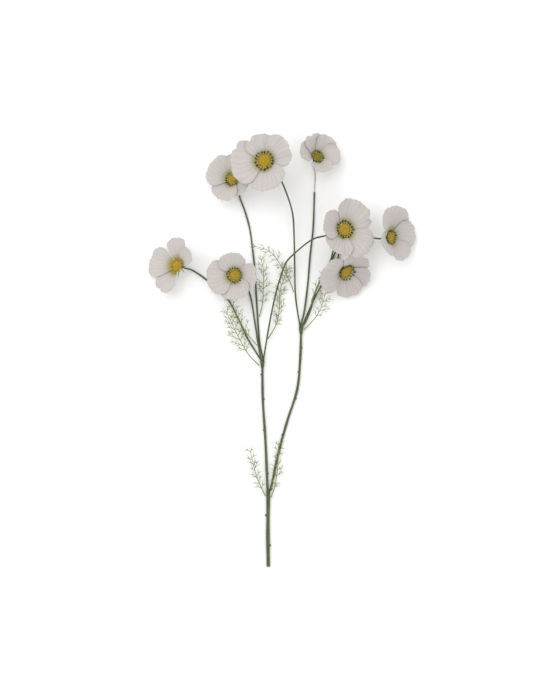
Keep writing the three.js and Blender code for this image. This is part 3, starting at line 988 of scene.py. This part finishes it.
def eye_mesh(name, number, bloom):
    """A dome packed with small florets in a sunflower pattern."""
    eye = bloom["eye"]
    level = eye_level(bloom)
    dome = eye * EYE_DOME
    move = mover(number, bloom)
    turned = turn_of(bloom)
    finish = material("eye_olive" if number - 1 == BARE_BLOOM else "eye_gold")
    build = Builder()
    profile = [(0, 0.4), (eye * 0.5, level - 2.4), (eye * 0.9, level - 0.9), (eye, level)]
    for k in range(1, 8):
        angle = math.pi / 2 * k / 8
        profile.append((eye * math.cos(angle), level + dome * math.sin(angle)))
    profile.append((0, level + dome))
    add_lathe(build, profile, 32, move)
    body = build.mesh(name + "_dome", [finish])
    picks = random.Random(number)
    count = sizes().florets
    width = eye * math.sqrt(math.pi / count) * 1.12
    spots = []
    for k in range(count):
        radius = eye * 0.99 * math.sqrt((k + 0.5) / count)
        angle = k * GOLDEN_ANGLE
        height = level + dome * math.sqrt(max(0.0, 1 - (radius / eye) ** 2))
        normal = Vector((radius * math.cos(angle) * dome / eye, radius * math.sin(angle) * dome / eye,
                         (height - level) * eye / dome + 0.3)).normalized()
        spot = Vector((radius * math.cos(angle), radius * math.sin(angle), height))
        tall = width * picks.uniform(1.1, 1.9)
        wide = width * picks.uniform(0.8, 1.05)
        spots.append((move(spot), turned @ normal, tall * MM, wide * MM, picks.random()))
    florets = copies_mesh(name + "_florets", spots, bead_shape, finish)
    return join_meshes(name, [body, florets])


def stamen_mesh(name, number, bloom):
    """Filaments that reach out from under the eye, each with a long anther at its end."""
    eye = bloom["eye"]
    level = eye_level(bloom)
    move = mover(number, bloom)
    turned = turn_of(bloom)
    picks = random.Random(100 + number)
    golden = number == 8
    count = sizes().stamens
    filaments, anthers, pollen = [], [], []
    for k in range(count * 2):
        outer = k % 2 == 0
        angle = 2 * math.pi * (k + picks.uniform(-0.25, 0.25)) / (count * 2)
        reach = eye * (picks.uniform(1.36, 1.6) if outer else picks.uniform(1.12, 1.28))
        out = Vector((math.cos(angle), math.sin(angle), 0))
        foot = out * eye * 0.85 + UP * (level - 0.3)
        top = out * reach + UP * (cup_height(bloom, reach, angle) + picks.uniform(2.0, 2.9))
        line = top - foot
        filaments.append((move(foot), turned @ line.normalized(), line.length * MM, 0.55 * MM, 1.0))
        aim = (out * picks.uniform(0.5, 1.2) + UP * picks.uniform(0.2, 0.9)
               + out.cross(UP) * picks.uniform(-0.5, 0.5)).normalized()
        long = picks.uniform(2.6, 4.6) * eye / 8
        (anthers if outer else pollen).append(
            (move(top), turned @ aim, long * MM, long * 0.55 * MM, picks.random()))
    parts = [
        copies_mesh(name + "_filaments", filaments, needle_shape, material("filament_pale")),
        copies_mesh(name + "_anthers", anthers, bead_shape,
                    material("anther_gold" if golden else "anther_dark")),
        copies_mesh(name + "_pollen", pollen, bead_shape,
                    material("anther_gold" if golden else "filament_pale")),
    ]
    return join_meshes(name, parts)


def calyx_mesh(name, number, bloom):
    """The green cup under a bloom, with thin bracts that hug the petals' backs."""
    move = mover(number, bloom)
    build = Builder()
    seat = CALYX_TOP - CALYX_LENGTH
    foot = sizes().wire_radius / MM if number - 1 == BARE_BLOOM else sizes().stalk_radius / MM
    profile = [(0, seat), (foot, seat), (foot * 1.25, seat + 1.2), (CALYX_RADIUS * 0.62, seat + 2.8),
               (CALYX_RADIUS * 0.86, seat + 4.6), (CALYX_RADIUS, seat + 6.4),
               (CALYX_RADIUS * 0.94, CALYX_TOP), (0, CALYX_TOP)]
    add_lathe(build, profile, 24, move)
    picks = random.Random(200 + number)
    for k in range(8):
        angle = 2 * math.pi * (k + picks.uniform(-0.2, 0.2)) / 8
        out = Vector((math.cos(angle), math.sin(angle), 0))
        length = picks.uniform(9, 15)
        path = []
        for step in range(9):
            share = step / 8
            radius = CALYX_RADIUS * 0.8 + length * share
            drop = cup_height(bloom, radius, angle) - picks.uniform(1.6, 1.9) - 2.2 * share
            path.append(move(out * radius + UP * (CALYX_TOP - 0.6 if step == 0 else drop)))
        build.add_tube(path, lambda _, share: mix(0.75, 0.16, share) * MM, 8, 0, 0.5)
    return build.mesh(name, [material("green_stem")])


# ------------------------------------------------------------------ stems and fronds

def swollen(radius, knuckle_end=False):
    """The radius along a branch: it flares into a knuckle at its far end."""
    def radius_at(distance, share):
        flare = smooth(share, 0.955, 0.99) if knuckle_end else 0.0
        return radius * (1 + 0.85 * flare - 0.06 * math.sin(distance / MM * 0.11))
    return radius_at


def scar_spots(path, shares, radius, side):
    """Places for the small leaf scars, which stand out on one side of a stem."""
    spots = []
    for i, share in enumerate(shares):
        index = min(int(share * (len(path) - 1)), len(path) - 2)
        forward = (path[index + 1] - path[index]).normalized()
        away = forward.cross(UP).normalized() * (side if i % 2 == 0 else -side)
        spot = path[index] + away * radius * 0.85
        spots.append((spot, (away + forward * 0.9).normalized(), radius * 1.9, radius * 1.25, 0.0))
    return spots


def stem_piece(name, routes, radii, scars, node):
    build = Builder()
    spots = []
    for route, radius, shares in zip(routes, radii, scars):
        path = curve_through([place(point) for point in route], 14)
        build.add_tube(path, swollen(radius, route is not LOWER_STEM), 20)
        spots += scar_spots(path, shares, radius, 1)
    parts = [build.mesh(name + "_bars", [material("green_stem")])]
    parts.append(copies_mesh(name + "_scars", spots, bead_shape, material("knuckle_green")))
    return finish_piece(name, join_meshes(name, parts), "stem", node)


def knuckle_mesh(name, centre, forward, radius, length):
    """The moulded joint where stems meet: a cone with a rolled rim."""
    build = Builder()
    profile = ((-1.0, 0.55), (-0.8, 0.72), (-0.5, 0.86), (-0.2, 0.98), (0.0, 1.0), (0.15, 0.96),
               (0.22, 0.8))
    path = [centre + forward * (length * level) for level, _ in profile]
    widths = [width for _, width in profile]

    def radius_at(_, share):
        spot = share * (profile[-1][0] - profile[0][0]) + profile[0][0]
        for (low, first), (high, second) in zip(profile, profile[1:]):
            if spot <= high:
                return radius * mix(first, second, clamp((spot - low) / (high - low)))
        return radius * widths[-1]

    build.add_tube(path, radius_at, 20)
    return build.mesh(name, [material("knuckle_green")])


def stalk_path(index):
    bloom = BLOOMS[index]
    base = base_of(index + 1, bloom)
    axis = axis_of(bloom)
    seat = CALYX_TOP - CALYX_LENGTH
    neck = [base + axis * (seat - 6) * MM, base + axis * (seat + 0.8) * MM]
    if index == BARE_BLOOM:
        green = curve_through([place(point) for point in STALKS[index]])
        wire = curve_through([place(point) for point in BARE_WIRE] + neck)
        return green, wire
    return curve_through([place(point) for point in STALKS[index]] + neck), None


def frond_mesh(name, frond, number):
    """A midrib with pairs of side leaflets, each with finer leaflets of its own."""
    path = curve_through([place(point) for point in frond["route"]], 10)
    build = Builder()
    build.add_tube(path, lambda _, share: mix(0.8, 0.3, share) * MM, 8)
    lengths = [0.0]
    for a, b in zip(path, path[1:]):
        lengths.append(lengths[-1] + (b - a).length)
    total = lengths[-1]
    picks = random.Random(300 + number)
    pairs = round(total * (1 - frond["bare"]) / sizes().leaflet_pitch)
    spots = []
    for i in range(pairs):
        share = frond["bare"] + (1 - frond["bare"]) * (i + 0.5) / pairs
        index = max(k for k in range(len(path) - 1) if lengths[k] <= share * total)
        forward = (path[index + 1] - path[index]).normalized()
        rise = smooth((i + 1) / pairs, 0, 0.35)
        reach = frond["reach"] * mix(0.4, 1, rise) * (1 - 0.62 * (i / pairs))
        for side in (-1, 1):
            away = UP.cross(forward).normalized() * side
            tilt = UP * picks.uniform(-0.12, 0.3)
            aim = (forward + away * picks.uniform(0.6, 1.25) + tilt).normalized()
            long = reach * picks.uniform(0.6, 1.15)
            foot = path[index] + forward * picks.uniform(-2, 3) * MM
            spots.append((foot, aim, long * MM, 0.95 * MM, 0.35))
            twigs = max(1, round(long / 7.5))
            for k in range(twigs):
                at = (k + 0.8) / (twigs + 0.6)
                for twig_side in (-1, 1) if picks.random() < 0.6 else (picks.choice((-1, 1)),):
                    out = aim.cross(UP).normalized() * twig_side
                    turned = aim + out * picks.uniform(0.4, 0.8) + UP * picks.uniform(-0.2, 0.3)
                    turned.normalize()
                    fine = picks.uniform(6.0, 11.0) * mix(1.1, 0.7, at)
                    spots.append((foot + aim * long * at * MM, turned, fine * MM, 0.85 * MM,
                                  picks.uniform(0.5, 1.0)))
    midrib = build.mesh(name + "_midrib", [material("frond_green")])
    leaflets = copies_mesh(name + "_leaflets", spots, needle_shape, material("frond_green"))
    return join_meshes(name, [midrib, leaflets])


# ------------------------------------------------------------------ operators

class COSMOS_OT_stems(bpy.types.Operator):
    """Build the main stem, the right branch and the knuckles where they fork"""
    bl_idname = "cosmos.stems"
    bl_label = "Stems"

    def execute(self, context):
        size = sizes()
        stem_piece("main_stem_bars", [LOWER_STEM, LEFT_BRANCH], [size.stem_radius, size.branch_radius],
                   [(0.33, 0.72), (0.12, 0.42, 0.68, 0.9)], "main_stem")
        stem_piece("right_branch_bars", [RIGHT_BRANCH], [size.branch_radius],
                   [(0.2, 0.43, 0.62, 0.77, 0.9)], "right_branch")
        joints = (
            ("main_knuckle", MAIN_FORK, (0.05, 1, 0), size.stem_radius * 1.15, 15 * MM),
            ("left_knuckle", LEFT_FORK, (-0.02, 1, 0.01), KNUCKLE_RADIUS, 10 * MM),
            ("right_knuckle", RIGHT_FORK, (0.03, 1, 0.01), KNUCKLE_RADIUS, 10 * MM),
        )
        for name, fork, forward, radius, length in joints:
            mesh = knuckle_mesh(name, place(fork), Vector(forward).normalized(), radius, length)
            finish_piece(name, mesh, "stem")
        return {"FINISHED"}


class COSMOS_OT_stalks(bpy.types.Operator):
    """Build the eight stalks, with the bare wire of one of them"""
    bl_idname = "cosmos.stalks"
    bl_label = "Stalks"

    def execute(self, context):
        size = sizes()
        for index in range(len(BLOOMS)):
            name = f"bloom_{index + 1}_stem"
            green, wire = stalk_path(index)
            build = Builder()
            build.add_tube(green, swollen(size.stalk_radius), 14)
            mesh = build.mesh(name, [material("green_stem")])
            finish_piece(name, mesh, "stem", f"bloom_{index + 1}_stalk")
            if wire:
                build = Builder()
                build.add_tube(wire, lambda *_: size.wire_radius, 10)
                mesh = build.mesh("bloom_3_wire", [material("bare_wire")])
                finish_piece("bloom_3_wire", mesh, "stem")
        return {"FINISHED"}


class COSMOS_OT_petals(bpy.types.Operator):
    """Build each bloom's broad overlapping petals"""
    bl_idname = "cosmos.petals"
    bl_label = "Petals"

    def execute(self, context):
        for number, bloom in enumerate(BLOOMS, 1):
            for index, petal in enumerate(bloom["petals"]):
                name = f"bloom_{number}_cloth_{index + 1}"
                mesh = petal_mesh(name, number, bloom, index, petal)
                finish_piece(name, mesh, "petal", f"bloom_{number}_petal_{index + 1}")
        return {"FINISHED"}


class COSMOS_OT_eyes(bpy.types.Operator):
    """Build each bloom's eye of florets and its ring of stamens"""
    bl_idname = "cosmos.eyes"
    bl_label = "Eyes and stamens"

    def execute(self, context):
        for number, bloom in enumerate(BLOOMS, 1):
            node = f"bloom_{number}_centre"
            eye = f"bloom_{number}_eye"
            finish_piece(eye, eye_mesh(eye, number, bloom), "eye", node)
            ring = f"bloom_{number}_stamens"
            finish_piece(ring, stamen_mesh(ring, number, bloom), "eye", node)
        return {"FINISHED"}


class COSMOS_OT_calyxes(bpy.types.Operator):
    """Build the green cup and the thin bracts under each bloom"""
    bl_idname = "cosmos.calyxes"
    bl_label = "Calyxes"

    def execute(self, context):
        for number, bloom in enumerate(BLOOMS, 1):
            name = f"bloom_{number}_calyx"
            finish_piece(name, calyx_mesh(name, number, bloom), "stem", f"bloom_{number}_stalk")
        return {"FINISHED"}


class COSMOS_OT_fronds(bpy.types.Operator):
    """Build the nine feathery fronds"""
    bl_idname = "cosmos.fronds"
    bl_label = "Fronds"

    def execute(self, context):
        for number, frond in enumerate(FRONDS, 1):
            name = frond["name"] + "_leaf"
            finish_piece(name, frond_mesh(name, frond, number), "frond", frond["name"])
        return {"FINISHED"}


CAMERA_HEIGHT = 6.0
FOCUS_LEVEL = 0.03
FIELD_HEIGHT = 1.05
SENSOR = 36.0
FLOOR_SIZE = 12.0
KEY_PLACE = Vector((-1.1, 1.3, 2.4))
FILL_PLACE = Vector((1.6, -0.8, 1.8))


def area_light(name, spot, power, size):
    data = bpy.data.lights.new(name, "AREA")
    data.energy = power
    data.size = size
    light = bpy.data.objects.new(name, data)
    light.location = spot
    light.rotation_euler = (-spot).to_track_quat("-Z", "Y").to_euler()
    bpy.context.scene.collection.objects.link(light)


class COSMOS_OT_stage(bpy.types.Operator):
    """Build the pale table, the soft studio light and the camera overhead"""
    bl_idname = "cosmos.stage"
    bl_label = "Stage"

    def execute(self, context):
        scene = context.scene
        half = FLOOR_SIZE / 2
        mesh = bpy.data.meshes.new("table_top")
        mesh.from_pydata([(-half, -half, 0), (half, -half, 0), (half, half, 0), (-half, half, 0)], [],
                         [(0, 1, 2, 3)])
        mesh.materials.append(material("pale_table"))
        table = bpy.data.objects.new("table_top", mesh)
        scene.collection.objects.link(table)
        area_light("key_light", KEY_PLACE, 40, 2.6)
        area_light("fill_light", FILL_PLACE, 9, 2.2)
        world = bpy.data.worlds.new("studio")
        world.use_nodes = True
        world.node_tree.nodes["Background"].inputs["Color"].default_value = (1, 1, 1, 1)
        world.node_tree.nodes["Background"].inputs["Strength"].default_value = 0.86
        scene.world = world
        scene.view_settings.view_transform = "Standard"
        data = bpy.data.cameras.new("overhead")
        data.sensor_width = SENSOR
        data.lens = SENSOR * (CAMERA_HEIGHT - FOCUS_LEVEL) / FIELD_HEIGHT
        data.clip_end = 50
        camera = bpy.data.objects.new("overhead", data)
        camera.location = (0, 0, CAMERA_HEIGHT)
        scene.collection.objects.link(camera)
        scene.camera = camera
        return {"FINISHED"}


OPERATORS = (COSMOS_OT_stage, COSMOS_OT_stems, COSMOS_OT_stalks, COSMOS_OT_calyxes,
             COSMOS_OT_petals, COSMOS_OT_eyes, COSMOS_OT_fronds)


class COSMOS_PT_panel(bpy.types.Panel):
    """The steps that build the spray, with its sizes and colours"""
    bl_idname = "COSMOS_PT_panel"
    bl_label = "Cosmos spray"
    bl_space_type = "VIEW_3D"
    bl_region_type = "UI"
    bl_category = "Cosmos"

    def draw(self, context):
        for operator in OPERATORS:
            self.layout.operator(operator.bl_idname)
        for group in (context.scene.cosmos_sizes, context.scene.cosmos_colours):
            box = self.layout.box()
            for key in group.__annotations__:
                box.prop(group, key)


CLASSES = (CosmosSizes, CosmosColours, *OPERATORS, COSMOS_PT_panel)


def register():
    for item in CLASSES:
        bpy.utils.register_class(item)
    bpy.types.Scene.cosmos_sizes = bpy.props.PointerProperty(type=CosmosSizes)
    bpy.types.Scene.cosmos_colours = bpy.props.PointerProperty(type=CosmosColours)


def unregister():
    del bpy.types.Scene.cosmos_colours
    del bpy.types.Scene.cosmos_sizes
    for item in reversed(CLASSES):
        bpy.utils.unregister_class(item)


def main():
    register()
    for step in ("stage", "stems", "stalks", "calyxes", "petals", "eyes", "fronds"):
        getattr(bpy.ops.cosmos, step)()


if __name__ == "__main__":
    main()
